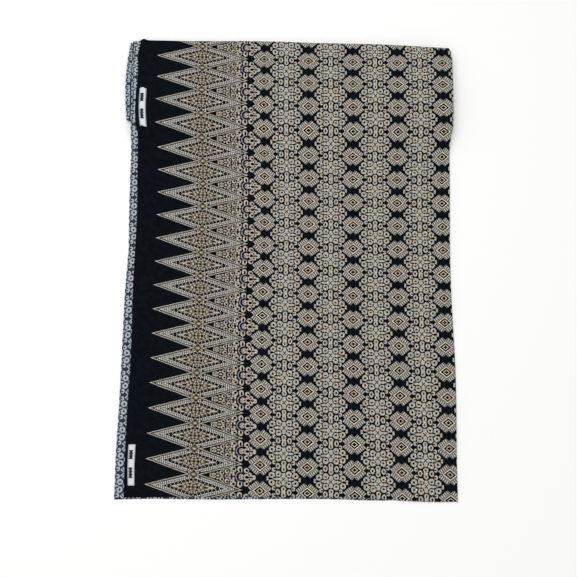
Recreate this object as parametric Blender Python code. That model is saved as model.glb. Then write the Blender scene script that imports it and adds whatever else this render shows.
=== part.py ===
"""A batik wrap cloth, folded in half along its length with the print outside, lying face up.

The lengthwise fold is at the right. The lower half peeps out at the left and under the cut end.
At the far end the cloth turns under itself, and the rest of it lies there as a packet of flat
runs, folded back and forth, over which the panel rises. Two woven labels lie on the left edge.
X runs across the cloth, Y from the cut end to the top fold, and Z is up. The origin is on the
surface that the cloth lies on, under its middle. Sizes are in millimetres until make_sheet.
"""

import math
from collections import namedtuple

import bmesh
import bpy

MM = 0.001

# Layers of the cloth
SHEET = 1.0
LAYER_GAP = 0.5
LAYER = SHEET + LAYER_GAP
HALF_LAYER = LAYER / 2
FLOOR_LEVEL = SHEET / 2 + HALF_LAYER

# Panel from its cut end to the top fold, and the packet of runs under its far end
CUT_END = -395.0
TOP_FOLD = 399.0
PACKET_RUNS = 3
RUN_LOFT = 4.2
RUN_PRESSED = 2.9
LOFT_ENDS = 300.0
PRESSED_FROM = 396.0
SLOPE_FOOT = 198.0
SLOPE_HEAD = 254.0
NEAR_FOLD = 251.0
LAST_END = 256.0
FOLD_ROOM = 2 * LAYER

# Bulge of the lengthwise fold, over the distance that it takes to die away
FOLD_BULGE = 0.5
FOLD_BULGE_REACH = 30.0

# Steps of the grid
OPEN_ROWS = 15
SLOPE_ROWS = 8
PACKED_ROWS = (272, 300, 330, 356, 378, 391)
RUN_ROWS = 5
FOLD_STEPS = 5
FRONT_COLUMNS = (0, 0.005, 0.075, 0.17, 0.28, 0.39, 0.5, 0.61, 0.72, 0.83, 0.93, 1)
LOWER_COLUMNS = (1, 0.93, 0.8, 0.6, 0.4, 0.2, 0.05, 0)

# Labels: thickness, gap to the cloth, and how far in from the front's edge they start
LABEL_SHEET = 1.0
LABEL_GAP = 0.3
LABEL_INSET = 4.5
LABEL_WIDTH = 13.0

# Edges of the two halves and the lengthwise fold, at places along the panel
Edge = namedtuple("Edge", "y front lower fold")
PANEL_EDGES = (
    Edge(-395, -273.0, -289.0, 280.0),
    Edge(-315, -272.3, -288.0, 280.3),
    Edge(-245, -270.5, -285.3, 281.7),
    Edge(-175, -267.5, -283.3, 282.0),
    Edge(-115, -266.6, -282.0, 280.4),
    Edge(-45, -266.5, -280.2, 278.6),
    Edge(25, -264.5, -276.3, 278.3),
    Edge(80, -263.0, -276.9, 279.5),
    Edge(145, -263.8, -276.8, 281.0),
    Edge(200, -264.5, -276.2, 281.9),
    Edge(228, -264.0, -275.8, 282.6),
    Edge(254, -267.5, -275.5, 287.0),
    Edge(296, -267.4, -275.0, 288.4),
    Edge(333, -265.0, -276.0, 289.1),
    Edge(365, -265.8, -275.3, 288.7),
    Edge(381, -264.5, -274.0, 286.1),
    Edge(399, -261.7, -272.7, 282.0),
)

# Edges of the runs in the packet, each from where it starts to where it ends
RUN_EDGES = (
    (
        Edge(399, -264.0, -276.0, 281.0),
        Edge(330, -268.0, -278.0, 284.0),
        Edge(251, -270.0, -278.5, 283.0),
    ),
    (
        Edge(251, -276.0, -285.0, 284.0),
        Edge(300, -275.0, -288.0, 286.0),
        Edge(345, -274.0, -287.6, 287.0),
        Edge(399, -270.0, -280.0, 281.0),
    ),
    (
        Edge(399, -268.0, -278.0, 279.0),
        Edge(330, -272.0, -284.0, 283.0),
        Edge(251, -272.0, -283.0, 282.0),
    ),
)

# Outline of the cut end, where the lower half peeps out, and of the top fold
Cut = namedtuple("Cut", "x front lower")
CUT_LINE = (
    Cut(-289, -388.5, -395.3),
    Cut(-229, -388.0, -394.0),
    Cut(-130, -388.8, -395.2),
    Cut(-47, -389.5, -394.6),
    Cut(52, -390.5, -394.4),
    Cut(151, -393.8, -396.8),
    Cut(201, -397.8, -396.0),
    Cut(251, -399.2, -397.5),
    Cut(279, -398.5, -398.5),
)
Top = namedtuple("Top", "x y")
TOP_LINE = (
    Top(-262, 399.0),
    Top(-239, 398.6),
    Top(-158, 397.2),
    Top(-51, 397.0),
    Top(56, 393.5),
    Top(137, 391.7),
    Top(190, 389.8),
    Top(244, 386.4),
    Top(285, 384.0),
)

# Soft ridges in the panel: middle, half-length, half-width, turn in degrees and height
Ridge = namedtuple("Ridge", "x y long wide turn height")
RIDGES = (
    Ridge(-150, -210, 190, 46, 78, 1.1),
    Ridge(60, -60, 230, 52, 64, 1.3),
    Ridge(175, 120, 150, 44, 100, 0.9),
    Ridge(-60, 130, 170, 50, 15, 0.8),
    Ridge(120, -300, 150, 40, 8, 0.9),
    Ridge(-215, 60, 120, 30, 92, 0.7),
)

# Labels: name, and the places along the panel where each starts and ends
Label = namedtuple("Label", "name start end")
LABELS = (
    Label("label_upper", 239.0, 307.0),
    Label("label_lower", -374.5, -309.0),
)

Row = namedtuple("Row", "y z angle edge on_panel")


def smooth(low, high, value):
    """0 up to low, 1 from high on, with a soft start and end between them."""
    part = min(max((value - low) / (high - low), 0.0), 1.0)
    return part * part * (3 - 2 * part)


def between(table, key, value):
    """A table's row at a value of its key column, on straight lines between its rows."""
    rows = sorted(table, key=lambda row: getattr(row, key))
    value = min(max(value, getattr(rows[0], key)), getattr(rows[-1], key))
    for low, high in zip(rows, rows[1:]):
        start, end = getattr(low, key), getattr(high, key)
        if value <= end:
            part = (value - start) / (end - start)
            return type(low)(*(a + (b - a) * part for a, b in zip(low, high)))
    return rows[-1]


def steps(start, end, count):
    """Evenly spaced numbers from start to end, both included."""
    return [start + (end - start) * i / (count - 1) for i in range(count)]


def run_height(y):
    """Height from one run of the packet to the next: lofty at its near end, pressed at the top fold."""
    return RUN_LOFT + (RUN_PRESSED - RUN_LOFT) * smooth(LOFT_ENDS, PRESSED_FROM, y)


def level(run, y):
    """Height of the middle between a run's two halves. The lowest run of the packet is 0."""
    return FLOOR_LEVEL + run * run_height(y)


def panel_level(y):
    """Height of the panel's middle: on the surface at the cut end, and over the packet beyond its slope."""
    return FLOOR_LEVEL + PACKET_RUNS * run_height(y) * smooth(SLOPE_FOOT, SLOPE_HEAD, y)


def ridge_lift(x, y):
    """How far the soft ridges lift the front half."""
    lift = 0.0
    for ridge in RIDGES:
        turn = math.radians(ridge.turn)
        along = (x - ridge.x) * math.cos(turn) + (y - ridge.y) * math.sin(turn)
        across = (y - ridge.y) * math.cos(turn) - (x - ridge.x) * math.sin(turn)
        lift += ridge.height * math.exp(-((along / ridge.long) ** 2) - (across / ridge.wide) ** 2)
    return lift


def front_lift(row, x):
    """Lift of the front half on the panel: its ridges, and the bulge of the lengthwise fold."""
    if not row.on_panel:
        return 0.0
    bulge = FOLD_BULGE * math.exp(-((row.edge.fold - x) / FOLD_BULGE_REACH) ** 2)
    flat = 1 - smooth(SLOPE_HEAD, TOP_FOLD, row.y)
    return (ridge_lift(x, row.y) + bulge) * flat


def drift(x, y, half):
    """How far a point slides along Y, so that the cut end and the top fold get their own lines."""
    far = smooth(CUT_END, TOP_FOLD, y)
    cut = getattr(between(CUT_LINE, "x", x), half) - CUT_END
    top = between(TOP_LINE, "x", x).y - TOP_FOLD
    return cut * (1 - far) + top * far


def panel_rows():
    """Rows of the panel, from the cut end to the top fold."""
    places = steps(CUT_END, SLOPE_FOOT - 10, OPEN_ROWS)
    places += steps(SLOPE_FOOT, SLOPE_HEAD, SLOPE_ROWS)
    places += PACKED_ROWS
    rows = []
    for y in places:
        slope = (panel_level(y + 1) - panel_level(y - 1)) / 2
        edge = between(PANEL_EDGES, "y", y)
        rows.append(Row(y, panel_level(y), math.atan(slope), edge, True))
    return rows


def fold_rows(turn_y, high, low, side, edge_in, edge_out):
    """Rows of a fold from one run down to the next. side is 1 for a top fold, -1 for a near one."""
    radius = (high - low) / 2
    middle_z = (high + low) / 2
    middle_y = turn_y - side * (radius + HALF_LAYER + SHEET / 2)
    rows = []
    for i in range(FOLD_STEPS + 1):
        part = i / FOLD_STEPS
        around = math.pi * part
        y = middle_y + side * radius * math.sin(around)
        z = middle_z + radius * math.cos(around)
        angle = -around if side > 0 else around - math.pi
        edge = Edge(*(a + (b - a) * part for a, b in zip(edge_in, edge_out)))
        rows.append(Row(y, z, angle, edge, False))
    return rows


def run_rows(run, start, end):
    """Rows of one hidden run, between its folds. It heads for the near end or for the top fold."""
    edges = RUN_EDGES[PACKET_RUNS - 1 - run]
    heading = 0.0 if end > start else -math.pi
    rows = []
    for y in steps(start, end, RUN_ROWS)[1:-1]:
        slope = (level(run, y + 1) - level(run, y - 1)) / 2
        angle = heading + math.atan(slope)
        rows.append(Row(y, level(run, y), angle, between(edges, "y", y), False))
    return rows


def cloth_rows():
    """All rows along the cloth: the panel, then each fold and run of the packet."""
    rows = panel_rows()
    leaving = between(PANEL_EDGES, "y", TOP_FOLD)
    for run in reversed(range(PACKET_RUNS)):
        edges = RUN_EDGES[PACKET_RUNS - 1 - run]
        to_near = (PACKET_RUNS - run) % 2 == 1
        turn_y, side = (TOP_FOLD, 1) if to_near else (NEAR_FOLD, -1)
        fold = fold_rows(turn_y, level(run + 1, turn_y), level(run, turn_y), side, leaving, edges[0])
        rows += fold
        if run == 0:
            end = LAST_END
        else:
            end = NEAR_FOLD + FOLD_ROOM if to_near else TOP_FOLD - FOLD_ROOM
        rows += run_rows(run, fold[-1].y, end)
        leaving = edges[-1]
    last = between(RUN_EDGES[-1], "y", LAST_END)
    rows.append(Row(LAST_END, level(0, LAST_END), -math.pi, last, False))
    return rows


def place(row, x, out, half):
    """Point at x on a row, out from the middle towards the front half."""
    y = row.y - math.sin(row.angle) * out
    z = row.z + math.cos(row.angle) * out
    return (x, y + drift(x, row.y, half), z)


def section(row):
    """Points of one row: the front half, round the lengthwise fold, and back along the lower half."""
    edge = row.edge
    rise = HALF_LAYER + front_lift(row, edge.fold)
    bend = (rise + HALF_LAYER) / 2
    turn_x = edge.fold - bend - SHEET / 2
    points = []
    for part in FRONT_COLUMNS:
        x = edge.front + (turn_x - edge.front) * part
        points.append(place(row, x, HALF_LAYER + front_lift(row, x), "front"))
    for i in range(1, FOLD_STEPS):
        around = math.pi * i / FOLD_STEPS
        out = (rise - HALF_LAYER) / 2 + bend * math.cos(around)
        points.append(place(row, turn_x + bend * math.sin(around), out, "front"))
    for part in LOWER_COLUMNS:
        x = edge.lower + (turn_x - edge.lower) * part
        points.append(place(row, x, -HALF_LAYER, "lower"))
    return points


def make_material(name, color, roughness):
    """A plain cloth material."""
    material = bpy.data.materials.new(name)
    material.use_nodes = True
    shader = material.node_tree.nodes["Principled BSDF"]
    shader.inputs["Base Color"].default_value = (*color, 1)
    shader.inputs["Roughness"].default_value = roughness
    shader.inputs["Metallic"].default_value = 0
    return material


def make_sheet(name, grid, thickness, material):
    """A closed sheet of even thickness about a grid of points, given row by row."""
    mesh = bpy.data.meshes.new(name)
    shape = bmesh.new()
    rows = [[shape.verts.new([value * MM for value in point]) for point in row] for row in grid]
    for near, far in zip(rows, rows[1:]):
        for i in range(len(near) - 1):
            shape.faces.new((near[i], near[i + 1], far[i + 1], far[i]))
    shape.to_mesh(mesh)
    shape.free()
    sheet = bpy.data.objects.new(name, mesh)
    bpy.context.scene.collection.objects.link(sheet)
    mesh.materials.append(material)
    mesh.shade_smooth()
    wall = sheet.modifiers.new("Thickness", "SOLIDIFY")
    wall.thickness = thickness * MM
    wall.offset = 0
    wall.use_even_offset = True
    return sheet


def on_front(rows, y, inset):
    """Point on the middle of the front half at a place along the panel, in from its edge.

    It lies on the straight line between the two rows beside it, as the sheet's faces do.
    """
    panel = [row for row in rows if row.on_panel]
    for low, high in zip(panel, panel[1:]):
        if y <= high.y:
            break
    part = (y - low.y) / (high.y - low.y)
    ends = []
    for row in (low, high):
        x = row.edge.front + inset
        ends.append(place(row, x, HALF_LAYER + front_lift(row, x), "front"))
    return [a + (b - a) * part for a, b in zip(*ends)]


def label_grid(rows, label):
    """Grid of a label's middle surface, which follows the front half below it."""
    places = [row.y for row in rows if row.on_panel and label.start < row.y < label.end]
    grid = []
    above = SHEET / 2 + LABEL_GAP + LABEL_SHEET / 2
    for y in [label.start, *places, label.end]:
        slope = math.atan((panel_level(y + 1) - panel_level(y - 1)) / 2)
        points = []
        for inset in (LABEL_INSET, LABEL_INSET + LABEL_WIDTH):
            x, along, z = on_front(rows, y, inset)
            points.append((x, along - math.sin(slope) * above, z + math.cos(slope) * above))
        grid.append(points)
    return grid


def build():
    """The cloth and its two labels."""
    for old in list(bpy.data.objects):
        bpy.data.objects.remove(old, do_unlink=True)
    rows = cloth_rows()
    cotton = make_material("batik_cotton", (0.10, 0.095, 0.088), 0.85)
    woven = make_material("label_weave", (0.55, 0.58, 0.61), 0.7)
    make_sheet("cloth", [section(row) for row in rows], SHEET, cotton)
    for label in LABELS:
        make_sheet(label.name, label_grid(rows, label), LABEL_SHEET, woven)


build()
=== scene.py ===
import math
from collections import namedtuple

import bpy
import numpy as np
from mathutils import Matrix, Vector, noise


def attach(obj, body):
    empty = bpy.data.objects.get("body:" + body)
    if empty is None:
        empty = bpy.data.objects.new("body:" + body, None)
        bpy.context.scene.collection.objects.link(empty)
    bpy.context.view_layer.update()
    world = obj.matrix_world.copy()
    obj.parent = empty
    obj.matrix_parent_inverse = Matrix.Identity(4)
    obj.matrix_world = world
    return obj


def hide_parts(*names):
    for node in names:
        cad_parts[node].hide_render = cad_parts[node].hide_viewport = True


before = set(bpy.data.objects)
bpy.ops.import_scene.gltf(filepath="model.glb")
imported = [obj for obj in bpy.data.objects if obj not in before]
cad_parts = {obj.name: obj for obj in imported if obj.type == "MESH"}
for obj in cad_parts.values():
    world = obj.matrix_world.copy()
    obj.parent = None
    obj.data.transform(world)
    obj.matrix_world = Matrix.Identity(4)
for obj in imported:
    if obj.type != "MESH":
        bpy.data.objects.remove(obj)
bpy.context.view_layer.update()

MM = 0.001

# The cloth, in millimetres. Its two halves lie LAYER apart where they are loose,
# and CLOSE apart where the front's edge lies down on the lower half.
SHEET = 0.5
CAD_SHEET = 1.0
LAYER = 1.5
CLOSE = 0.62
HALF_LAYER = LAYER / 2
FLOOR_LEVEL = CAD_SHEET / 2 + HALF_LAYER
LOWER_SINK = CAD_SHEET / 2 - SHEET / 2

# Panel from its cut end to the top fold, and the packet of runs under its far end
CUT_END = -395.0
TOP_FOLD = 399.0
PACKET_RUNS = 3
RUN_LOFT = 4.2
RUN_PRESSED = 2.9
LOFT_ENDS = 300.0
PRESSED_FROM = 396.0
SLOPE_FOOT = 198.0
SLOPE_HEAD = 254.0
NEAR_FOLD = 251.0
LAST_END = 256.0
FOLD_ROOM = 2 * LAYER

# Soft bulge of the lengthwise fold, and how far its height takes to die away
FOLD_BULGE = 0.5
FOLD_BULGE_REACH = 30.0
EDGE_REACH = 14.0

# Grid of the sheet
OPEN_ROWS = 104
SLOPE_ROWS = 20
PACKED_ROWS = 26
RUN_ROWS = 22
TURN_STEPS = 8
FRONT_COLUMNS = 92
LOWER_COLUMNS = 44

# Edges of the two halves and the lengthwise fold, at places along the panel
Edge = namedtuple("Edge", "y front lower fold")
PANEL_EDGES = (
    Edge(-395, -273.0, -289.0, 280.0),
    Edge(-315, -272.3, -288.0, 280.3),
    Edge(-245, -270.5, -285.3, 281.7),
    Edge(-175, -267.5, -283.3, 282.0),
    Edge(-115, -266.6, -282.0, 280.4),
    Edge(-45, -266.5, -280.2, 278.6),
    Edge(25, -264.5, -276.3, 278.3),
    Edge(80, -263.0, -276.9, 279.5),
    Edge(145, -263.8, -276.8, 281.0),
    Edge(200, -264.5, -276.2, 281.9),
    Edge(228, -264.0, -275.8, 282.6),
    Edge(254, -267.5, -275.5, 287.0),
    Edge(296, -267.4, -275.0, 288.4),
    Edge(333, -265.0, -276.0, 289.1),
    Edge(365, -265.8, -275.3, 289.2),
    Edge(381, -264.5, -274.0, 289.0),
    Edge(399, -261.7, -272.7, 285.5),
)

# Edges of the runs in the packet, each from where it starts to where it ends
RUN_EDGES = (
    (
        Edge(399, -264.0, -276.0, 281.0),
        Edge(330, -268.0, -278.0, 284.0),
        Edge(251, -270.0, -278.5, 283.0),
    ),
    (
        Edge(251, -276.0, -285.0, 284.0),
        Edge(300, -275.0, -288.0, 286.0),
        Edge(345, -274.0, -287.6, 287.0),
        Edge(399, -270.0, -281.5, 281.0),
    ),
    (
        Edge(399, -268.0, -278.0, 279.0),
        Edge(330, -272.0, -284.0, 283.0),
        Edge(251, -272.0, -283.0, 282.0),
    ),
)

# Outline of the cut end, where the lower half peeps out, and of the top fold
Cut = namedtuple("Cut", "x front lower")
CUT_LINE = (
    Cut(-289, -391.8, -395.3),
    Cut(-229, -391.4, -394.0),
    Cut(-130, -391.0, -395.2),
    Cut(-47, -391.0, -394.6),
    Cut(52, -391.8, -394.4),
    Cut(151, -394.4, -396.8),
    Cut(201, -397.8, -396.0),
    Cut(251, -399.2, -397.5),
    Cut(279, -398.5, -398.5),
)
Top = namedtuple("Top", "x y")
TOP_LINE = (
    Top(-266, 398.6),
    Top(-261, 399.4),
    Top(-256, 402.0),
    Top(-250, 399.2),
    Top(-239, 398.6),
    Top(-158, 397.2),
    Top(-51, 397.0),
    Top(56, 393.5),
    Top(137, 391.7),
    Top(190, 389.8),
    Top(244, 386.4),
    Top(285, 384.0),
)

# Soft ridges in the panel: middle, half-length, half-width, turn in degrees and height
Ridge = namedtuple("Ridge", "x y long wide turn height")
RIDGES = (
    Ridge(-150, -210, 190, 46, 78, 1.1),
    Ridge(60, -60, 230, 52, 64, 1.3),
    Ridge(175, 120, 150, 44, 100, 0.9),
    Ridge(-60, 130, 170, 50, 15, 0.8),
    Ridge(120, -300, 150, 40, 8, 0.9),
    Ridge(-215, 60, 120, 30, 92, 0.7),
)

# Labels: sheet, gap to the cloth, and their left and right edges at places along the panel
LABEL_SHEET = 0.5
LABEL_GAP = 0.15
LABEL_ROWS = 30
LABEL_COLUMNS = 5
Side = namedtuple("Side", "y left right")
LABEL_SIDES = {
    "label_upper": (
        Side(238.5, -259.2, -247.0),
        Side(272.9, -261.6, -249.0),
        Side(306.5, -260.7, -248.4),
    ),
    "label_lower": (
        Side(-375.5, -266.6, -255.1),
        Side(-343.8, -267.7, -255.8),
        Side(-308.9, -267.2, -254.8),
    ),
}

# Stitches at a label's ends: how many, their length and thickness, and how far from the end
STITCHES = 7
STITCH_LONG = 1.25
STITCH_THICK = 0.42
STITCH_IN = 1.5
STITCH_PROUD = 0.05

# Loose threads at the cut end and short fuzz on the selvedge: half their thickness
THREAD = 0.11
CUT_THREADS = 420
EDGE_THREADS = 160

# Columns of the lower half that show past the front's selvedge
SHOWN_COLUMNS = 3

# Small unevenness of the panel: the size of its waves and their height
RIPPLE_SIZE = 42.0
RIPPLE = 0.28
EDGE_WAVE_SIZE = 11.0
EDGE_WAVE = 0.7

# Photograph's viewpoint: a 40 mm lens over the cloth's middle, turned a little towards its cut end
LENS = 40.0
SENSOR = 36.0
LENS_TILT = math.radians(6.18)
LENS_DISTANCE = 1099.5
LENS_AIM_Y = -43.8
LENS_HEIGHT = LENS_DISTANCE * math.cos(LENS_TILT)
LENS_Y = LENS_AIM_Y - LENS_DISTANCE * math.sin(LENS_TILT)

# The print: its repeat along the cloth, its repeat across, its first column of lozenges
# from the selvedge, and the cloth's whole width
ROW = 41.2
COLUMN = 78.7
FIRST = 224.0
CLOTH_WIDTH = 1118.0
DARK_MARGIN = 22.0

# Where rows of the print lie on the panel: their point in the border, BORDER from the selvedge, and
# in the first column of lozenges. From there the columns lie COLUMN apart or a little less, the row
# leans by so much from one to the next, and its middle hangs down. The last column is a little
# farther off, by the fold.
BORDER = 50.0
COLUMNS = 5
LAST_WIDER = 1.5
PRINT_ACROSS = (0.0, BORDER, *(FIRST + COLUMN * i for i in range(COLUMNS)))
PrintRow = namedtuple("PrintRow", "row border_x border_y first_x first_y column lean hang")
PRINT_ROWS = (
    PrintRow(-1, -225.0, -412.5, -48.0, -423.0, 78.8, -4.1, 0.0),
    PrintRow(3, -221.0, -246.0, -46.5, -255.5, 78.1, -3.7, -1.0),
    PrintRow(7, -217.0, -79.5, -44.5, -90.5, 77.2, -3.0, -1.2),
    PrintRow(11, -213.5, 83.5, -41.5, 71.5, 76.5, -2.1, -1.8),
    PrintRow(13, -213.5, 164.0, -41.5, 152.5, 76.8, -1.7, -2.5),
    PrintRow(15, -217.5, 245.5, -43.0, 235.0, 77.9, -1.5, -2.2),
    PrintRow(17, -217.0, 329.0, -43.0, 320.0, 78.0, -1.4, -2.0),
    PrintRow(19, -218.0, 407.5, -42.5, 402.5, 78.1, -2.1, -1.7),
)

# Motifs of the print: light shapes and holes, in millimetres from a motif's middle, mirrored
# in both directions. Those of the border count from the selvedge.
PRINT_EDGE = 0.35
WANDER = 0.9
Spot = namedtuple("Spot", "x y wide tall")
ROSETTE = (
    Spot(0.0, 0.0, 21.5, 9.6),
    Spot(16.1, 14.6, 3.1, 3.7),
)
STAR = Spot(0.0, 0.0, 3.8, 4.2)
BIG_CURL = Spot(19.4, 5.8, 5.3, 5.0)
SMALL_CURL = Spot(8.8, 8.1, 5.1, 4.9)
ROSETTE_HOLES = (
    Spot(19.9, 5.8, 1.8, 2.0),
    Spot(8.8, 7.5, 2.1, 1.4),
    Spot(14.4, 9.8, 1.4, 2.2),
    Spot(8.4, 2.8, 2.3, 1.3),
    Spot(14.4, 2.6, 3.3, 1.1),
    Spot(22.4, 0.8, 3.6, 1.0),
    Spot(14.8, 15.0, 1.9, 1.2),
    Spot(4.3, 5.4, 1.1, 2.0),
    Spot(13.8, 6.2, 0.9, 1.9),
)
CROSS = (
    Spot(0.0, 5.2, 3.9, 3.9),
    Spot(0.0, 0.0, 3.3, 3.8),
)
CROSS_HOLE = Spot(0.0, 5.0, 1.2, 2.2)
RING = Spot(9.4, 0.0, 3.7, 4.9)
RING_HOLE = Spot(9.5, 0.0, 1.5, 2.3)
LINK = Spot(5.0, 0.0, 2.4, 1.0)
TREFOIL = (
    Spot(201.6, 10.3, 4.2, 4.3),
    Spot(207.0, 4.4, 3.8, 3.4),
    Spot(213.4, 0.8, 3.7, 3.0),
    Spot(201.6, 1.8, 4.0, 3.0),
)
TREFOIL_HOLES = (
    Spot(202.4, 10.4, 2.3, 1.9),
    Spot(206.8, 3.9, 1.3, 1.9),
    Spot(211.2, 0.0, 1.9, 1.3),
    Spot(202.6, 0.8, 3.0, 1.6),
    Spot(198.6, 6.4, 1.9, 1.3),
    Spot(204.6, 7.4, 0.8, 1.8),
)
BLOOM_RIM = Spot(193.4, 0.0, 9.4, 8.6)
BLOOM_HOLLOW = Spot(193.9, 0.0, 8.5, 7.7)
BLOOM = Spot(193.4, 0.0, 4.4, 4.5)
BLOOM_HOLES = (
    Spot(190.6, 0.0, 1.9, 0.6),
    Spot(192.2, 2.5, 2.0, 0.5),
    Spot(196.2, 0.0, 1.6, 1.1),
)
COMMA = Spot(191.0, 12.1, 4.2, 4.9)
COMMA_HOLE = Spot(191.6, 11.0, 1.8, 3.2)
SCROLL = (
    Spot(142.6, 0.0, 0.9, 4.0),
    Spot(148.2, 2.2, 3.8, 1.8),
    Spot(154.4, 4.5, 1.9, 1.2),
    Spot(155.6, 0.2, 2.6, 1.1),
    Spot(161.2, 4.8, 3.6, 3.3),
    Spot(162.2, 0.0, 2.0, 0.9),
    Spot(169.5, 0.0, 3.1, 3.0),
    Spot(169.7, 7.6, 3.6, 3.5),
    Spot(163.6, 9.6, 1.8, 0.9),
    Spot(174.7, 2.6, 1.5, 2.0),
    Spot(176.6, 6.2, 2.4, 1.3),
    Spot(173.6, 12.0, 1.4, 0.9),
    Spot(180.0, 11.0, 5.1, 4.7),
    Spot(180.6, 3.6, 1.8, 2.6),
)
SCROLL_HOLES = (
    Spot(148.4, 1.8, 2.0, 0.5),
    Spot(161.8, 5.2, 2.0, 1.8),
    Spot(169.6, 0.4, 1.7, 1.7),
    Spot(170.4, 8.4, 2.0, 1.8),
    Spot(181.2, 12.0, 2.5, 2.0),
    Spot(178.2, 8.6, 1.5, 1.1),
    Spot(165.6, 5.8, 0.7, 2.4),
    Spot(174.6, 9.6, 0.8, 2.8),
)
LEAVES = (
    Spot(31.2, 0.0, 5.0, 1.8),
    Spot(22.6, 2.7, 3.6, 0.9),
    Spot(16.0, 4.3, 2.6, 1.0),
    Spot(13.4, 0.0, 1.7, 2.2),
    Spot(9.3, 3.4, 1.6, 1.3),
    Spot(10.6, 6.4, 2.2, 0.9),
    Spot(6.0, 8.0, 1.3, 1.4),
    Spot(3.4, 2.6, 1.4, 1.2),
    Spot(1.8, 6.2, 1.2, 1.0),
    Spot(2.6, 9.4, 0.9, 1.2),
    Spot(25.8, 0.0, 1.6, 1.4),
)
LEAF_HOLES = (
    Spot(20.4, 0.0, 3.4, 1.4),
    Spot(6.8, 0.0, 1.8, 1.8),
    Spot(10.9, 1.4, 0.9, 1.2),
    Spot(5.6, 5.2, 1.3, 1.3),
    Spot(0.0, 4.2, 0.9, 1.3),
    Spot(12.8, 3.8, 1.0, 1.0),
    Spot(0.0, 0.0, 1.6, 1.5),
    Spot(19.0, 4.5, 1.2, 0.9),
    Spot(0.0, 8.2, 0.9, 1.2),
    Spot(8.4, 7.0, 0.9, 0.9),
)
TAN_EYE = Spot(0.0, 0.0, 2.8, 1.3)
TAN_HOLES = (
    Spot(0.0, 3.8, 1.4, 1.1),
    Spot(10.2, 3.7, 1.8, 1.4),
)
TUMPAL_MIDDLE = 115.2

# Straight edges of motifs: how much each rises for a millimetre across and along, from a level
Line = namedtuple("Line", "across along level")
ROSETTE_TAIL = (Line(0.3134, -0.9497, -5.3), Line(-1, 0, 28.2))
STAR_RAY = Line(0.74, -0.67, 0)
STAR_RAY_HALF = 0.75
COMB_RIMS = (Line(-0.625, -0.781, 15.7), Line(0.707, -0.707, 8.06), Line(-0.634, 0.773, 9.0))
COMB_ALONG = Line(0.781, -0.625, 0)
RINGS_RIM = Line(-0.625, -0.781, 9.9)
RINGS_RISE = Line(0.034, 0.0425, 0)
TUMPAL_RIM = Line(-0.2838, -0.9578, 22.7)
TUMPAL_ALONG = Line(0.9578, -0.2838, 0)
TUMPAL_RISE = Line(0.0125, 0.0422, 0)
BASKET_ROWS = Line(-0.2838, -0.9578, 23.1)
DIAMOND_RIM = Line(-0.72, -0.69, 6.3)
WEDGE_RIM = Line(0.2952, -0.9554, -38.5)
BLOOM_LIMIT = Line(-0.97, -0.24, 191.6)
MARK_RIM = Line(-0.66, -0.75, 2.1)
MARK_BARS = (Line(0, 1, -1.3), Line(-1, 0, 3.6))

# Bands inside an edge: how deep their middle lies and half their width
Depth = namedtuple("Depth", "middle half")
BASKET = Depth(5.7, 3.0)
DASH_BAND = Depth(10.0, 1.45)
DIAMOND_LIGHT = Depth(0.6, 0.5)
DIAMOND_DARK = Depth(2.1, 0.6)

# Repeats, each folded at half its length: the comb's bars, the basket's gaps and the dashes
COMB_FOLD = 1.8
COMB_BAR_FROM = 1.0
BASKET_FOLD = 1.5
BASKET_GAP = 0.42
BASKET_FOLD_ACROSS = 1.55
BASKET_GAP_ACROSS = 0.52
DASH_FOLD = 3.15
DASH_HALF = 2.6

# Places from the selvedge where the lozenges start and where the wedges start and end, and how
# deep in a tumpal its leaves start
LOZENGES_FROM = 192.0
WEDGE_FROM = 140.9
WEDGE_TO = 183.5
LEAVES_DEPTH = 12.2

# Dyes of the print, the first three a little uneven, and colours along its rings and bands
GROUND_DYE = ((0.36, "#070B10"), (0.64, "#0B1016"))
CREAM_DYE = ((0.36, "#A79F8B"), (0.5, "#A5A297"), (0.64, "#9FA09C"))
WARM_DYE = ((0.36, "#AAA191"), (0.64, "#A6A19A"))
PLAIN_DYES = ("#130C07", "#060606", "#6B604B", "#0B0F18", "#8C8F9E")
REVERSE_DYE = ((0.0, "#27303A"), (0.1, "#5F6974"), (0.3, "#A6ADB5"))
LOZENGE_RINGS = (
    (0.128, "#020101"), (0.14, "#C8BDA6"), (0.184, "#C8BDA6"), (0.194, "#020101"), (0.325, "#020101"),
    (0.337, "#C9C1AE"), (0.412, "#C4BDAC"), (0.422, "#0E0C0A"), (0.478, "#0E0C0A"), (0.488, "#ACA79A"),
    (0.51, "#ACA79A"), (0.52, "#24221E"), (1.0, "#24221E"),
)
TUMPAL_BANDS = (
    (0.0, "#655E50"), (0.46, "#655E50"), (0.47, "#14110C"), (0.49, "#14110C"), (0.5, "#A09C92"),
    (0.61, "#A09C92"), (0.62, "#BAB8B2"), (0.882, "#BAB8B2"), (0.89, "#060504"), (0.952, "#060504"),
    (0.962, "#B8B2A2"), (1.0, "#B8B2A2"),
)
# Painted shade along a label's long edges: grey at the edge, growing to the ribbon's white towards its
# middle
LABEL_EDGE_SHADE = ((0.0, "#8A9096"), (0.2, "#A9AFB5"), (0.5, "#CDD3D8"), (1.0, "#D2D8DC"))

# Half a label's width, and how fast the painted shade at its edges fades for each millimetre
LABEL_HALF = 6.2
LABEL_SHADE_FADE = 0.2

# Groups of marks on a label: where along it and half their length. Then, for all of them, their
# middle across it and half their repeat along it.
Group = namedtuple("Group", "middle half")
LABEL_GROUPS = (Group(20.5, 9.0), Group(50.0, 7.5))
MARKS_MIDDLE = 5.2
MARKS_FOLD = 2.3

# The lamp, in metres and watts, and the light from all round
LAMP_PLACE = Vector((-0.7, 0.4, 1.7))
LAMP_SIZE = 1.8
LAMP_POWER = 12
ROOM_LIGHT = 0.86

Row = namedtuple("Row", "y z angle edge on_panel run")


def smooth(low, high, value):
    """0 up to low, 1 from high on, with a soft start and end between them."""
    part = min(max((value - low) / (high - low), 0.0), 1.0)
    return part * part * (3 - 2 * part)


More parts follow.
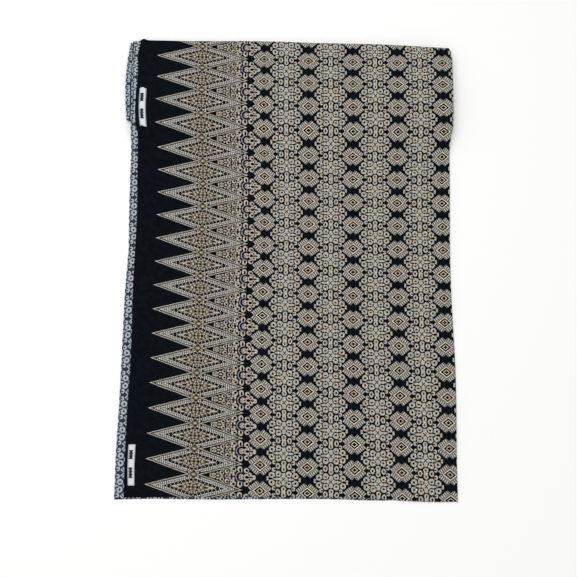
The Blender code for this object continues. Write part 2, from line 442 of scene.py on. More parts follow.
def between(table, key, value):
    """A table's row at a value of its key column, on a soft curve through its rows."""
    rows = sorted(table, key=lambda row: getattr(row, key))
    at = [getattr(row, key) for row in rows]
    value = min(max(value, at[0]), at[-1])
    i = min(max(int(np.searchsorted(at, value)) - 1, 0), len(rows) - 2)
    span = at[i + 1] - at[i]
    part = (value - at[i]) / span
    before, after = max(i - 1, 0), min(i + 2, len(rows) - 1)
    mixed = []
    for column in range(len(rows[0])):
        p0, p1, p2, p3 = (rows[k][column] for k in (before, i, i + 1, after))
        lean1 = (p2 - p0) / (at[i + 1] - at[before]) * span
        lean2 = (p3 - p1) / (at[after] - at[i]) * span
        swing = part * (1 - part)
        mixed.append(
            p1 + (p2 - p1) * part * part * (3 - 2 * part)
            + swing * (lean1 * (1 - part) - lean2 * part)
        )
    return type(rows[0])(*mixed)


def run_height(y):
    """Height from one run of the packet to the next: lofty at its near end, pressed at the top fold."""
    return RUN_LOFT + (RUN_PRESSED - RUN_LOFT) * smooth(LOFT_ENDS, PRESSED_FROM, y)


def level(run, y):
    """Height of the middle between a run's two halves. The lowest run of the packet is 0."""
    return FLOOR_LEVEL + run * run_height(y)


def panel_level(y):
    """Height of the panel's middle: on the floor at the cut end, over the packet past its slope."""
    return FLOOR_LEVEL + PACKET_RUNS * run_height(y) * smooth(SLOPE_FOOT, SLOPE_HEAD, y)


def ridge_lift(x, y):
    """How far the soft ridges lift the front half."""
    lift = 0.0
    for ridge in RIDGES:
        turn = math.radians(ridge.turn)
        along = (x - ridge.x) * math.cos(turn) + (y - ridge.y) * math.sin(turn)
        across = (y - ridge.y) * math.cos(turn) - (x - ridge.x) * math.sin(turn)
        lift += ridge.height * math.exp(-((along / ridge.long) ** 2) - (across / ridge.wide) ** 2)
    return lift


def front_lift(row, x):
    """How far the front half stands off: ridges and ripples, and down on the lower half at its edges."""
    if not row.on_panel:
        return 0.0
    flat = 1 - smooth(SLOPE_HEAD, TOP_FOLD, row.y)
    bulge = FOLD_BULGE * math.exp(-((row.edge.fold - x) / FOLD_BULGE_REACH) ** 2)
    waves = noise.noise((x / RIPPLE_SIZE, row.y / RIPPLE_SIZE, 0.0))
    waves += 0.5 * noise.noise((x / RIPPLE_SIZE * 2.3, row.y / RIPPLE_SIZE * 2.3, 7.0))
    loose = (ridge_lift(x, row.y) + bulge) * flat + RIPPLE * (1 + waves)
    to_edge = min(x - row.edge.front, row.y - CUT_END + 2)
    held = math.exp(-((max(to_edge, 0.0) / EDGE_REACH) ** 2))
    return loose * (1 - 0.8 * held) - (LAYER - CLOSE) * held


def edge_wave(y, run):
    """Small unevenness of a selvedge, where the weft pulls it in and out."""
    return EDGE_WAVE * noise.noise((y / EDGE_WAVE_SIZE, 3.0 * run, 11.0))


def drift(x, y, half):
    """How far a point slides along Y, so that the cut end and the top fold get their own lines."""
    far = smooth(CUT_END, TOP_FOLD, y)
    cut = getattr(between(CUT_LINE, "x", x), half) - CUT_END
    top = between(TOP_LINE, "x", x).y - TOP_FOLD
    return cut * (1 - far) + top * far


def panel_row(y):
    """One row of the panel."""
    slope = (panel_level(y + 1) - panel_level(y - 1)) / 2
    return Row(y, panel_level(y), math.atan(slope), between(PANEL_EDGES, "y", y), True, PACKET_RUNS)


def panel_rows():
    """Rows of the panel, from the cut end to the top fold."""
    last = TOP_FOLD - run_height(TOP_FOLD) / 2 - HALF_LAYER - CAD_SHEET / 2
    places = [*np.linspace(CUT_END, SLOPE_FOOT, OPEN_ROWS)[:-1]]
    places += [*np.linspace(SLOPE_FOOT, SLOPE_HEAD, SLOPE_ROWS)[:-1]]
    places += [*np.linspace(SLOPE_HEAD, last, PACKED_ROWS)[:-1]]
    return [panel_row(y) for y in places]


def turn_rows(run, turn_y, side, edge_in, edge_out):
    """Rows of a fold down to a run. side is 1 for a top fold, -1 for a near one."""
    high, low = level(run + 1, turn_y), level(run, turn_y)
    radius = (high - low) / 2
    middle_y = turn_y - side * (radius + HALF_LAYER + CAD_SHEET / 2)
    rows = []
    for i in range(TURN_STEPS + 1):
        part = i / TURN_STEPS
        around = math.pi * part
        y = middle_y + side * radius * math.sin(around)
        z = (high + low) / 2 + radius * math.cos(around)
        angle = -around if side > 0 else around - math.pi
        edge = Edge(*(a + (b - a) * part for a, b in zip(edge_in, edge_out)))
        rows.append(Row(y, z, angle, edge, False, run))
    return rows


def run_rows(run, start, end):
    """Rows of one hidden run, between its folds. It heads for the near end or for the top fold."""
    edges = RUN_EDGES[PACKET_RUNS - 1 - run]
    heading = 0.0 if end > start else -math.pi
    rows = []
    for y in np.linspace(start, end, RUN_ROWS)[1:-1]:
        slope = (level(run, y + 1) - level(run, y - 1)) / 2
        angle = heading + math.atan(slope)
        rows.append(Row(y, level(run, y), angle, between(edges, "y", y), False, run))
    return rows


def cloth_rows():
    """All rows along the cloth: the panel, then each fold and run of the packet."""
    rows = panel_rows()
    leaving = between(PANEL_EDGES, "y", TOP_FOLD)
    for run in reversed(range(PACKET_RUNS)):
        edges = RUN_EDGES[PACKET_RUNS - 1 - run]
        to_near = (PACKET_RUNS - run) % 2 == 1
        turn_y, side = (TOP_FOLD, 1) if to_near else (NEAR_FOLD, -1)
        rows += turn_rows(run, turn_y, side, leaving, edges[0])
        if run == 0:
            end = LAST_END
        else:
            end = NEAR_FOLD + FOLD_ROOM if to_near else TOP_FOLD - FOLD_ROOM
        rows += run_rows(run, rows[-1].y, end)
        leaving = edges[-1]
    last = between(RUN_EDGES[-1], "y", LAST_END)
    rows.append(Row(LAST_END, level(0, LAST_END), -math.pi, last, False, 0))
    return rows


def place(row, x, out, half):
    """Point at x on a row, out from the middle towards the front half."""
    y = row.y - math.sin(row.angle) * out
    z = row.z + math.cos(row.angle) * out
    return (x, y + drift(x, row.y, half), z)


def section(row):
    """Points of one row: the front half, round the lengthwise fold, and back along the lower half."""
    edge = row.edge
    rise = HALF_LAYER + front_lift(row, edge.fold)
    sink = HALF_LAYER + (LOWER_SINK if row.on_panel and row.y < SLOPE_FOOT else 0.0)
    bend = (rise + sink) / 2
    turn_x = edge.fold - bend - SHEET / 2
    front_x = edge.front + edge_wave(row.y, row.run)
    lower_x = edge.lower + edge_wave(row.y, row.run + 10)
    points = []
    for part in np.linspace(0, 1, FRONT_COLUMNS):
        x = front_x + (turn_x - front_x) * part
        points.append(place(row, x, HALF_LAYER + front_lift(row, x), "front"))
    for i in range(1, TURN_STEPS):
        around = math.pi * i / TURN_STEPS
        out = (rise - sink) / 2 + bend * math.cos(around)
        points.append(place(row, turn_x + bend * math.sin(around), out, "front"))
    for part in np.linspace(1, 0, LOWER_COLUMNS):
        x = lower_x + (turn_x - lower_x) * part
        points.append(place(row, x, -sink, "lower"))
    return points


def line_at(x, xs, ys):
    """Height at x of a line through some points. Past them it runs straight on."""
    i = min(max(int(np.searchsorted(xs, x)) - 1, 0), len(xs) - 2)
    return ys[i] + (ys[i + 1] - ys[i]) * (x - xs[i]) / (xs[i + 1] - xs[i])


def print_lines():
    """Every row of the print: its number, and its points in the border and the columns."""
    lines = []
    middle = (COLUMNS - 1) / 2
    for number in range(PRINT_ROWS[0].row, PRINT_ROWS[-1].row + 1):
        row = between(PRINT_ROWS, "row", number)
        xs = [row.border_x, *(row.first_x + row.column * i for i in range(COLUMNS))]
        xs[-1] += LAST_WIDER
        ys = [row.border_y]
        for i in range(COLUMNS):
            ys.append(row.first_y + row.lean * i + row.hang * (1 - ((i - middle) / middle) ** 2))
        lines.append((number, xs, ys))
    return lines


def print_place(x, y, edge_x, lines):
    """How far across and along the print a point of the front half lies."""
    numbers = [number for number, _, _ in lines]
    row = line_at(y, [line_at(x, xs, ys) for _, xs, ys in lines], numbers)
    columns = [line_at(row, numbers, column) for column in zip(*(xs for _, xs, _ in lines))]
    return line_at(x, [edge_x, *columns], PRINT_ACROSS), row * ROW


def print_map(rows, grid):
    """Each grid point's place on the print, in metres across and along the flat cloth."""
    placed = np.zeros((len(rows), len(grid[0]), 2))
    lower_from = FRONT_COLUMNS + TURN_STEPS - 1
    panel = [i for i, row in enumerate(rows) if row.on_panel]
    lines = print_lines()
    for i in panel:
        for j in range(FRONT_COLUMNS):
            x, y, _ = grid[i][j]
            placed[i, j] = print_place(x, y, rows[i].edge.front, lines)
    steps = np.linalg.norm(np.diff(np.array(grid)[:, FRONT_COLUMNS // 2], axis=0), axis=1)
    for i in range(len(panel), len(rows)):
        placed[i, :FRONT_COLUMNS, 0] = placed[panel[-1], :FRONT_COLUMNS, 0]
        placed[i, :FRONT_COLUMNS, 1] = placed[i - 1, :FRONT_COLUMNS, 1] + steps[i - 1]
    last = FRONT_COLUMNS - 1
    points = np.array(grid)
    round_fold = np.linalg.norm(np.diff(points[:, last:lower_from + 1], axis=1), axis=2).cumsum(axis=1)
    placed[:, last + 1:lower_from + 1, 0] = placed[:, last:last + 1, 0] + round_fold
    part = np.linspace(0, 1, len(grid[0]) - lower_from)
    folded = placed[:, lower_from:lower_from + 1, 0]
    placed[:, lower_from:, 0] = folded + (CLOTH_WIDTH - folded) * part
    placed[:, last + 1:, 1] = placed[:, last:last + 1, 1]
    return placed * MM


def linear(code):
    """An sRGB hex colour as linear numbers."""
    parts = [int(code[i:i + 2], 16) / 255 for i in (1, 3, 5)]
    return (*(c / 12.92 if c <= 0.04045 else ((c + 0.055) / 1.055) ** 2.4 for c in parts), 1.0)


def node(tree, kind, inputs=(), out=0, stops=(), **settings):
    """Adds one node with its settings and colour stops, and its inputs: values or others' outputs."""
    made = tree.nodes.new("ShaderNode" + kind)
    for name, value in settings.items():
        setattr(made, name, value)
    if stops:
        bands = made.color_ramp.elements
        while len(bands) < len(stops):
            bands.new(1.0)
        for one, (spot, code) in zip(bands, stops):
            one.position = spot
            one.color = linear(code)
    for key, value in inputs.items() if isinstance(inputs, dict) else enumerate(inputs):
        if isinstance(value, bpy.types.NodeSocket):
            tree.links.new(value, made.inputs[key])
        else:
            made.inputs[key].default_value = value
    return made.outputs[out]


def new_material(name, roughness, specular=0.3):
    """A material, its node tree and its shader."""
    material = bpy.data.materials.new(name)
    material.use_nodes = True
    shader = material.node_tree.nodes["Principled BSDF"]
    shader.inputs["Roughness"].default_value = roughness
    shader.inputs["Specular IOR Level"].default_value = specular
    return material, material.node_tree, shader


def slope(tree, at, line):
    """How far inside a straight edge a place is: less than 0 outside it."""
    return node(tree, "VectorMath", [at, tuple(line)], 1, operation="DOT_PRODUCT")


def disc(tree, at, spot, grown=0.0):
    """How far inside an oval a place is, in millimetres: less than 0 outside it."""
    wide, tall = spot.wide + grown, spot.tall + grown
    scale, shift = (1 / wide, 1 / tall, 0), (-spot.x / wide, -spot.y / tall, 0)
    moved = node(tree, "VectorMath", [at, scale, shift], operation="MULTIPLY_ADD")
    far = node(tree, "VectorMath", [moved], 1, operation="LENGTH")
    return node(tree, "Math", [far, -min(wide, tall), min(wide, tall)], operation="MULTIPLY_ADD")


def band(tree, field, middle, half):
    """A band of a shape's field, about a level of it."""
    off = node(tree, "Math", [field, middle], operation="SUBTRACT")
    off = node(tree, "Math", [off], operation="ABSOLUTE")
    return node(tree, "Math", [half, off], operation="SUBTRACT")


def joined(tree, how, fields):
    """Some shapes together (MAXIMUM), or only where all of them are (MINIMUM)."""
    together = fields[0]
    for field in fields[1:]:
        together = node(tree, "Math", [together, field], operation=how)
    return together


def discs(tree, at, spots):
    """All the ovals of a table."""
    return joined(tree, "MAXIMUM", [disc(tree, at, spot) for spot in spots])


def printed(tree, under, dye, field):
    """A dye printed over the colours under it, inside a shape."""
    cover = node(tree, "Math", [field, 1 / PRINT_EDGE, 0.5], operation="MULTIPLY_ADD", use_clamp=True)
    return node(tree, "MixRGB", [cover, under, dye])


Places = namedtuple("Places", "flat across lozenge rosette cross tumpal diamond gap body")
Dyes = namedtuple("Dyes", "ground cream warm brown black tan blue pale")


def print_places(tree):
    """Places on the flat cloth in millimetres, a little wandering, folded about each motif's middle."""
    uv = node(tree, "UVMap", uv_map="Cloth")
    waver = node(tree, "TexNoise", {"Vector": uv, "Scale": 110.0, "Detail": 1.0}, 1, noise_dimensions="2D")
    shift = node(tree, "VectorMath", [waver, (WANDER,) * 3, (-WANDER / 2,) * 3], operation="MULTIPLY_ADD")
    flat = node(tree, "VectorMath", [uv, (1000, 1000, 0), shift], operation="MULTIPLY_ADD")
    across, along = (node(tree, "SeparateXYZ", [flat], i) for i in (0, 1))
    body = node(tree, "Math", [across, FIRST], operation="SUBTRACT")
    a = node(tree, "Math", [body, COLUMN / 2], operation="PINGPONG")
    b = node(tree, "Math", [along, ROW / 2], operation="PINGPONG")
    h = node(tree, "Math", [ROW / 2, b], operation="SUBTRACT")
    aside = node(tree, "Math", [across, TUMPAL_MIDDLE], operation="SUBTRACT")
    aside = node(tree, "Math", [aside], operation="ABSOLUTE")
    p = node(tree, "Math", [COLUMN / 2, a], operation="SUBTRACT")
    pairs = ((a, b), (p, h), (p, b), (aside, b), (aside, h), (across, h))
    folded = [node(tree, "CombineXYZ", [x, y, 1.0]) for x, y in pairs]
    return Places(flat, across, *folded, body)


def print_dyes(tree, at):
    """The dyes, the first three a little uneven."""
    blotches = {"Vector": at.flat, "Scale": 0.09, "Detail": 3.0}
    uneven = node(tree, "TexNoise", blotches, noise_dimensions="2D")
    mixed = [node(tree, "ValToRGB", [uneven], stops=dye) for dye in (GROUND_DYE, CREAM_DYE, WARM_DYE)]
    return Dyes(*mixed, *(linear(code) for code in PLAIN_DYES))


def rosettes(tree, at, dye, colour):
    """Rosettes of curls, and between them crosses with a ring at each side."""
    line = linear("#120E0A")
    tail = [slope(tree, at.rosette, side) for side in ROSETTE_TAIL]
    colour = printed(tree, colour, dye.cream, joined(tree, "MINIMUM", [at.body, *tail]))
    for spots, grown, tint in (
        (ROSETTE, 0, dye.cream), ((SMALL_CURL,), 1.0, line), ((SMALL_CURL,), 0, dye.cream),
        ((BIG_CURL,), 1.1, line), ((BIG_CURL,), 0, dye.cream), (ROSETTE_HOLES, 0, dye.black),
    ):
        shape = joined(tree, "MAXIMUM", [disc(tree, at.rosette, spot, grown) for spot in spots])
        colour = printed(tree, colour, tint, joined(tree, "MINIMUM", [at.body, shape]))
    ray = band(tree, slope(tree, at.rosette, STAR_RAY), 0, STAR_RAY_HALF)
    star = [ray, disc(tree, at.rosette, STAR)]
    colour = printed(tree, colour, linear("#1F2430"), joined(tree, "MINIMUM", [at.body, *star]))
    for spots, grown, tint in (
        ((RING,), 1.3, dye.black), ((LINK,), 0, dye.pale), ((RING,), 0, dye.cream),
        ((RING_HOLE,), 0, dye.black), (CROSS, 1.7, dye.brown), (CROSS, 0, dye.cream),
        ((CROSS_HOLE,), 0, dye.brown),
    ):
        shape = joined(tree, "MAXIMUM", [disc(tree, at.cross, spot, grown) for spot in spots])
        colour = printed(tree, colour, tint, joined(tree, "MINIMUM", [at.body, shape]))
    return colour


def lozenges(tree, at, dye, colour):
    """Notched lozenges: rings about a dark eye, and a comb of bars along the rim."""
    past_border = node(tree, "Math", [at.across, LOZENGES_FROM], operation="SUBTRACT")
    rims = [slope(tree, at.lozenge, rim) for rim in COMB_RIMS]
    comb = joined(tree, "MINIMUM", [*rims, past_border])
    colour = printed(tree, colour, linear("#ABA99F"), comb)
    bars = node(tree, "Math", [slope(tree, at.lozenge, COMB_ALONG), COMB_FOLD], operation="PINGPONG")
    bars = node(tree, "Math", [bars, COMB_BAR_FROM], operation="SUBTRACT")
    colour = printed(tree, colour, linear("#3A3832"), joined(tree, "MINIMUM", [comb, bars]))
    rings = node(tree, "ValToRGB", [slope(tree, at.lozenge, RINGS_RISE)], stops=LOZENGE_RINGS)
    inner = joined(tree, "MINIMUM", [slope(tree, at.lozenge, RINGS_RIM), past_border])
    return printed(tree, colour, rings, inner)


def tumpals(tree, at, dye, colour):
    """Long pointed diamonds along the selvedge, with small tan ones where they meet."""
    outline = slope(tree, at.tumpal, TUMPAL_RIM)
    bands = node(tree, "ValToRGB", [slope(tree, at.tumpal, TUMPAL_RISE)], stops=TUMPAL_BANDS)
    colour = printed(tree, colour, bands, outline)
    woven = []
    for field, fold, gap in (
        (slope(tree, at.tumpal, BASKET_ROWS), BASKET_FOLD, BASKET_GAP),
        (at.across, BASKET_FOLD_ACROSS, BASKET_GAP_ACROSS),
    ):
        folded = node(tree, "Math", [field, fold], operation="PINGPONG")
        woven.append(node(tree, "Math", [gap, folded], operation="SUBTRACT"))
    basket = joined(tree, "MINIMUM", [joined(tree, "MAXIMUM", woven), band(tree, outline, *BASKET)])
    colour = printed(tree, colour, linear("#100E0B"), basket)
    dashes = node(tree, "Math", [slope(tree, at.tumpal, TUMPAL_ALONG), DASH_FOLD], operation="PINGPONG")
    dashes = node(tree, "Math", [DASH_HALF, dashes], operation="SUBTRACT")
    dashes = joined(tree, "MINIMUM", [dashes, band(tree, outline, *DASH_BAND)])
    colour = printed(tree, colour, dye.black, dashes)
    within = node(tree, "Math", [outline, LEAVES_DEPTH], operation="SUBTRACT")
    for spots, tint in ((LEAVES, dye.warm), (LEAF_HOLES, dye.black)):
        shape = joined(tree, "MINIMUM", [within, discs(tree, at.tumpal, spots)])
        colour = printed(tree, colour, tint, shape)
    diamond = slope(tree, at.diamond, DIAMOND_RIM)
    colour = printed(tree, colour, dye.tan, diamond)
    colour = printed(tree, colour, linear("#8F846D"), band(tree, diamond, *DIAMOND_LIGHT))
    colour = printed(tree, colour, linear("#2A2116"), band(tree, diamond, *DIAMOND_DARK))
    colour = printed(tree, colour, dye.warm, disc(tree, at.diamond, TAN_EYE))
    return printed(tree, colour, dye.brown, discs(tree, at.diamond, TAN_HOLES))


def palmettes(tree, at, dye, colour):
    """Between the tumpals: a triangle of scrolls, a bloom between commas, and a trefoil."""
    wedge = slope(tree, at.gap, WEDGE_RIM)
    ends = [node(tree, "Math", pair, operation="SUBTRACT")
            for pair in ([at.across, WEDGE_FROM], [WEDGE_TO, at.across])]
    before_gap = slope(tree, at.gap, BLOOM_LIMIT)
    for limits, spots, tint in (
        ([wedge, *ends], None, linear("#1F1A14")),
        ([wedge], SCROLL, dye.warm),
        ([wedge], SCROLL_HOLES, dye.black),
        ([before_gap], (BLOOM_RIM,), dye.pale),
        ([before_gap], (BLOOM_HOLLOW,), dye.blue),
        ([before_gap], (BLOOM,), dye.warm),
        ([before_gap], BLOOM_HOLES, dye.brown),
        ([], (COMMA,), dye.cream),
        ([], (COMMA_HOLE,), dye.black),
        ([], TREFOIL, dye.warm),
        ([], TREFOIL_HOLES, dye.black),
    ):
        shapes = [discs(tree, at.gap, spots)] if spots else []
        colour = printed(tree, colour, tint, joined(tree, "MINIMUM", limits + shapes))
    return colour


def batik_print(tree):
    """Colours of the print on the flat cloth."""
    at = print_places(tree)
    dye = print_dyes(tree, at)
    colour = dye.ground
    for motifs in (rosettes, lozenges, palmettes, tumpals):
        colour = motifs(tree, at, dye, colour)
    specks = {"Vector": at.flat, "Scale": 0.5, "Detail": 2.0}
    fine = node(tree, "TexNoise", specks, noise_dimensions="2D")
    gain = node(tree, "Math", [fine, 1.9, 0.1], operation="MULTIPLY_ADD")
    return node(tree, "VectorMath", {"Vector": colour, "Scale": gain}, operation="SCALE")


def batik_material(name, worn_out=False):
    """Printed cotton. Its reverse shows the same print, faded to slate and pale grey."""
    material, tree, shader = new_material(name, 0.9, 0.04)
    colour = batik_print(tree)
    weave = node(tree, "UVMap", uv_map="Cloth")
    if worn_out:
        bright = node(tree, "RGBToBW", [colour])
        colour = node(tree, "ValToRGB", [bright], stops=REVERSE_DYE)
    else:
        far_edge = node(tree, "VectorMath", [weave, (1000, 0, 0)], 1, operation="DOT_PRODUCT")
        far_edge = node(tree, "Math", [far_edge, CLOTH_WIDTH - DARK_MARGIN], operation="SUBTRACT")
        colour = printed(tree, colour, linear("#27303A"), far_edge)
    fibres = {"Vector": weave, "Scale": 1400.0, "Detail": 2.0}
    grain = node(tree, "TexNoise", fibres, noise_dimensions="2D")
    relief = node(tree, "Bump", {"Strength": 0.35, "Distance": 0.00012, "Height": grain})
    tree.links.new(relief, shader.inputs["Normal"])
    tree.links.new(colour, shader.inputs["Base Color"])
    return material


def two_sided_sheet(name, grid, placed, thickness, face, back):
    """A closed sheet about a grid of points, its outer side face and its inner side and rim back."""
    points = np.array(grid, float)
    along = np.gradient(points, axis=0)
    across = np.gradient(points, axis=1)
    out = np.cross(across, along)
    out /= np.linalg.norm(out, axis=2, keepdims=True)
    n, m = points.shape[:2]
    outer = points + out * thickness / 2
    inner = points - out * thickness / 2
    verts = np.concatenate([outer.reshape(-1, 3), inner.reshape(-1, 3)]) * MM
    at = np.arange(n * m).reshape(n, m)
    quads = np.stack([at[:-1, :-1], at[:-1, 1:], at[1:, 1:], at[1:, :-1]], -1).reshape(-1, 4)
    rim = np.concatenate([at[0, :], at[1:, -1], at[-1, -2::-1], at[-2:0:-1, 0]])
    after = np.roll(rim, -1)
    rims = np.stack([rim, rim + n * m, after + n * m, after], -1)
    faces = np.concatenate([quads, quads[:, ::-1] + n * m, rims])
    mesh = bpy.data.meshes.new(name)
    mesh.from_pydata(verts.tolist(), [], faces.tolist())
    mesh.materials.append(face)
    mesh.materials.append(back)
    side = np.ones(len(faces), np.int32)
    side[:len(quads)] = 0
    mesh.polygons.foreach_set("material_index", side)
    mesh.shade_smooth()
    layer = mesh.uv_layers.new(name="Cloth")
    flat = placed.reshape(-1, 2)
    corner = np.empty(len(mesh.loops), np.int32)
    mesh.loops.foreach_get("vertex_index", corner)
    layer.uv.foreach_set("vector", flat[corner % (n * m)].ravel())
    sheet = bpy.data.objects.new(name, mesh)
    bpy.context.scene.collection.objects.link(sheet)
    return sheet


def lengths(points):
    """How far along a line each of its points is, from 0."""
    return np.concatenate([[0.0], np.linalg.norm(np.diff(points, axis=0), axis=1).cumsum()])


def bake_map(mesh, grid, panel):
    """Islands that never overlap: the front large, the lower half's shown edge next, the rest small."""
    points = np.array(grid)
    n, m = points.shape[:2]
    down, over = lengths(points[:, FRONT_COLUMNS // 2]), lengths(points[0])
    fold, shown = FRONT_COLUMNS + TURN_STEPS - 1, m - 1 - SHOWN_COLUMNS
    full = (0.0075, 0.9925)
    layout = np.zeros((2, n - 1, m - 1, 4, 2))
    for side, rows, columns, u, v in (
        (0, (0, panel), (0, fold), (0.005, 0.8), full),
        (0, (0, panel), (fold, m - 1), (0.89, 0.912), full),
        (0, (panel, n - 1), (0, m - 1), (0.963, 0.995), (0.0075, 0.49)),
        (1, (0, panel), (0, fold), (0.915, 0.94), full),
        (1, (0, panel), (fold, shown), (0.943, 0.96), full),
        (1, (0, panel), (shown, m - 1), (0.81, 0.845), full),
        (1, (panel, n - 1), (0, shown), (0.963, 0.995), (0.51, 0.9925)),
        (1, (panel, n - 1), (shown, m - 1), (0.85, 0.885), (0.0075, 0.49)),
    ):
        i = np.arange(*rows)[:, None, None] + np.array((0, 0, 1, 1))
        j = np.arange(*columns)[None, :, None] + np.array((0, 1, 1, 0))
        part_u = (over[j] - over[columns[0]]) / (over[columns[1]] - over[columns[0]])
        part_v = (down[i] - down[rows[0]]) / (down[rows[1]] - down[rows[0]])
        block = layout[side, slice(*rows), slice(*columns)]
        block[..., 0] = u[0] + (u[1] - u[0]) * part_u
        block[..., 1] = v[0] + (v[1] - v[0]) * part_v
    rim = np.linspace(0.51, 0.9925, 2 * (n + m) - 3)
    rims = np.stack([np.stack([np.full(len(rim) - 1, u), rim[k:len(rim) - 1 + k]], -1)
                     for u, k in ((0.85, 0), (0.885, 0), (0.885, 1), (0.85, 1))], 1)
    corners = np.concatenate([layout[0].ravel(), layout[1, :, :, ::-1].ravel(), rims.ravel()])
    mesh.uv_layers.new(name="OFBake").uv.foreach_set("vector", corners)


def threads(name, starts, material):
    """Fine threads in one piece, each from a start along its way with a small bend."""
    chance = np.random.default_rng(5)
    verts, faces = [], []
    for start, way in starts:
        way = np.array(way)
        bend = chance.normal(0, 0.22, 3) * np.linalg.norm(way) * (1, 1, 0.25)
        aside = np.cross(way, (0, 0, 1.0))
        aside /= np.linalg.norm(aside)
        for part in (0.0, 0.4, 0.75, 1.0):
            middle = np.array(start) + way * part + bend * part * part
            thick = THREAD * (1 - 0.5 * part)
            middle[2] = max(middle[2], thick + 0.02)
            verts += [middle + aside * thick, middle - aside * thick, middle + np.array((0, 0, thick))]
        last = len(verts) - 12
        for ring in range(last, last + 9, 3):
            for k in range(3):
                beside = (k + 1) % 3
                faces.append((ring + k, ring + beside, ring + 3 + beside, ring + 3 + k))
        faces += [(last + 2, last + 1, last), (last + 9, last + 10, last + 11)]
    mesh = bpy.data.meshes.new(name)
    mesh.from_pydata((np.array(verts) * MM).tolist(), [], faces)
    mesh.materials.append(material)
    piece = bpy.data.objects.new(name, mesh)
    bpy.context.scene.collection.objects.link(piece)
    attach(piece, "root")
    return piece


def frayed_ends(rows, grid):
    """Loose warp threads along the cut end, and short fuzz along the front's selvedge."""
    chance = np.random.default_rng(3)
    points = np.array(grid)
    starts = []
    for _ in range(CUT_THREADS):
        at = chance.uniform(0, len(points[0]) - 2)
        j = int(at)
        start = points[0, j] + (points[0, j + 1] - points[0, j]) * (at - j)
        long = chance.gamma(2.0, 0.5) + 0.3
        starts.append((start + (0, 0.4, 0), (chance.normal(0, 0.5), -long - 0.4, 0)))
    for _ in range(EDGE_THREADS):
        i = int(chance.integers(1, sum(row.on_panel for row in rows) - 1))
        column, side = ((0, "front"), (-1, "lower"))[chance.integers(2)]
        starts.append((points[i, column] + (0.3, chance.uniform(-2, 2), 0),
                       (-0.3 - abs(chance.normal(0, 0.55)), chance.normal(0, 0.5), 0)))
    cotton, _, shader = new_material("loose_cotton_thread", 0.9, 0.05)
    shader.inputs["Base Color"].default_value = linear("#3A4149")
    return threads("frayed_threads", starts, cotton)


def make_cloth():
    """The folded cloth, on its solid's folds, with its loose threads."""
    rows = cloth_rows()
    grid = [section(row) for row in rows]
    placed = print_map(rows, grid)
    face = batik_material("batik_print")
    back = batik_material("batik_reverse", True)
    cloth = two_sided_sheet("batik_cloth", grid, placed, SHEET, face, back)
    bake_map(cloth.data, grid, sum(row.on_panel for row in rows))
    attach(cloth, "root")
    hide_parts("cloth")
    frayed_ends(rows, grid)
    return cloth


def label_point(sides, y, part, above):
    """Point over the front half, part of the way across a label at a place along it."""
    row, side = panel_row(y), between(sides, "y", y)
    x = side.left + (side.right - side.left) * part
    return place(row, x, HALF_LAYER + front_lift(row, x) + above, "front")


def label_material():
    """White woven ribbon with plain dark lozenges and bars, and painted shade along its long edges."""
    material, tree, shader = new_material("woven_label", 0.7, 0.1)
    uv = node(tree, "UVMap", uv_map="Cloth")
    flat = node(tree, "VectorMath", [uv, (1000, 1000, 0), (0, 0, 1)], operation="MULTIPLY_ADD")
    across, along = (node(tree, "SeparateXYZ", [flat], i) for i in (0, 1))
    # Painted shade: the ribbon darkens from its middle towards its long edges
    edge = node(tree, "Math", [across, LABEL_HALF], operation="PINGPONG")
    edge = node(tree, "Math", [edge, LABEL_SHADE_FADE], operation="MULTIPLY")
    colour = node(tree, "ValToRGB", [edge], stops=LABEL_EDGE_SHADE)
    a = node(tree, "Math", [across, MARKS_MIDDLE], operation="SUBTRACT")
    a = node(tree, "Math", [a], operation="ABSOLUTE")
    for group in LABEL_GROUPS:
        b = node(tree, "Math", [along, group.middle], operation="SUBTRACT")
        b = node(tree, "Math", [b], operation="ABSOLUTE")
        near = node(tree, "CombineXYZ", [a, node(tree, "Math", [b, MARKS_FOLD], operation="PINGPONG"), 1.0])
        lozenge = slope(tree, near, MARK_RIM)
        bars = joined(tree, "MINIMUM", [slope(tree, near, side) for side in MARK_BARS])
        within = node(tree, "Math", [group.half, b], operation="SUBTRACT")
        marks = joined(tree, "MINIMUM", [within, joined(tree, "MAXIMUM", [lozenge, bars])])
        colour = printed(tree, colour, linear("#1D232B"), marks)
    tree.links.new(colour, shader.inputs["Base Color"])
    return material


def label_stitches(name, sides, material):
    """Short stitches that hold a label at both of its ends."""
    bpy.ops.object.select_all(action="DESELECT")
    made = []
    above = SHEET / 2 + LABEL_GAP + LABEL_SHEET + STITCH_PROUD
    for y in (sides[0].y + STITCH_IN, sides[-1].y - STITCH_IN):
        for i in range(STITCHES):
            middle = Vector(label_point(sides, y, (i + 0.7) / (STITCHES + 0.4), above)) * MM
            bpy.ops.mesh.primitive_uv_sphere_add(segments=8, ring_count=5, radius=0.5 * MM, location=middle)
            bpy.context.object.scale = (STITCH_LONG, STITCH_THICK, STITCH_THICK)
            made.append(bpy.context.object)
    for one in made:
        one.select_set(True)
    bpy.ops.object.join()
    stitches = bpy.context.object
    bpy.ops.object.transform_apply(location=True, rotation=True, scale=True)
    stitches.name = name
    stitches.data.materials.append(material)
    stitches.data.shade_smooth()
    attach(stitches, "root")
    return stitches


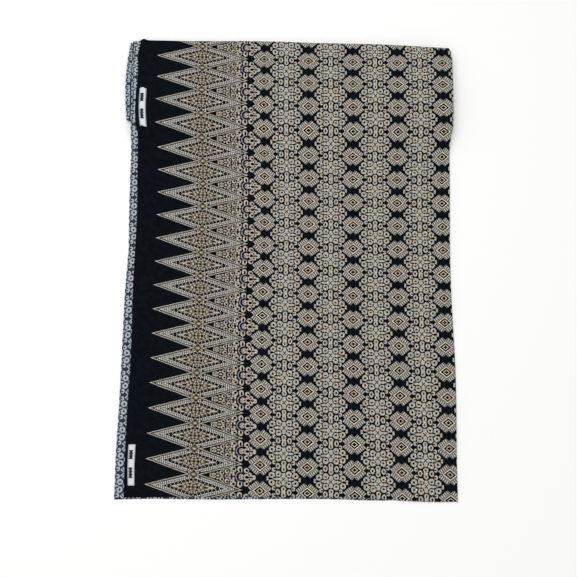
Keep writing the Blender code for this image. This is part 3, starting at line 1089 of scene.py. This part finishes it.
def make_labels():
    """Two woven labels that lie along the front's selvedge."""
    weave = label_material()
    thread, _, shader = new_material("white_sewing_thread", 0.6, 0.1)
    shader.inputs["Base Color"].default_value = linear("#9DA3A8")
    for name, sides in LABEL_SIDES.items():
        above = SHEET / 2 + LABEL_GAP + LABEL_SHEET / 2
        ys = np.linspace(sides[0].y, sides[-1].y, LABEL_ROWS)
        parts = np.linspace(0, 1, LABEL_COLUMNS)
        grid = [[label_point(sides, y, part, above) for part in parts] for y in ys]
        wide, long = sides[1].right - sides[1].left, float(lengths(np.array(grid)[:, 0])[-1])
        downs = [long * i / (LABEL_ROWS - 1) for i in range(LABEL_ROWS)]
        placed = np.array([[(part * wide, down) for part in parts] for down in downs])
        label = two_sided_sheet("woven_" + name, grid, placed * MM, LABEL_SHEET, weave, weave)
        stitches = label_stitches(name + "_stitches", sides, thread)
        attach(label, "root")
        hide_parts(name)


def make_stage():
    """Pale floor, camera and soft lights."""
    bpy.ops.object.select_all(action="DESELECT")
    bpy.ops.mesh.primitive_plane_add(size=6, location=(0, 0, 0))
    floor = bpy.context.object
    floor.name = "studio_floor"
    paper, _, shader = new_material("pale_floor", 0.9)
    shader.inputs["Base Color"].default_value = linear("#F7F7F6")
    floor.data.materials.append(paper)
    camera = bpy.data.objects.new("camera", bpy.data.cameras.new("camera"))
    bpy.context.scene.collection.objects.link(camera)
    camera.data.lens = LENS
    camera.data.sensor_width = SENSOR
    camera.location = (0, LENS_Y * MM, LENS_HEIGHT * MM)
    camera.rotation_euler = (LENS_TILT, 0, 0)
    bpy.context.scene.camera = camera
    bpy.context.scene.view_settings.view_transform = "Standard"
    world = bpy.data.worlds.new("studio")
    bpy.context.scene.world = world
    world.use_nodes = True
    world.node_tree.nodes["Background"].inputs["Color"].default_value = (1, 1, 1, 1)
    world.node_tree.nodes["Background"].inputs["Strength"].default_value = ROOM_LIGHT
    lamp = bpy.data.lights.new("window", "AREA")
    lamp.energy = LAMP_POWER
    lamp.size = LAMP_SIZE
    lamp_object = bpy.data.objects.new("window", lamp)
    bpy.context.scene.collection.objects.link(lamp_object)
    lamp_object.location = LAMP_PLACE
    lamp_object.rotation_euler = (-LAMP_PLACE).to_track_quat("-Z", "Y").to_euler()


make_stage()
make_cloth()
make_labels()
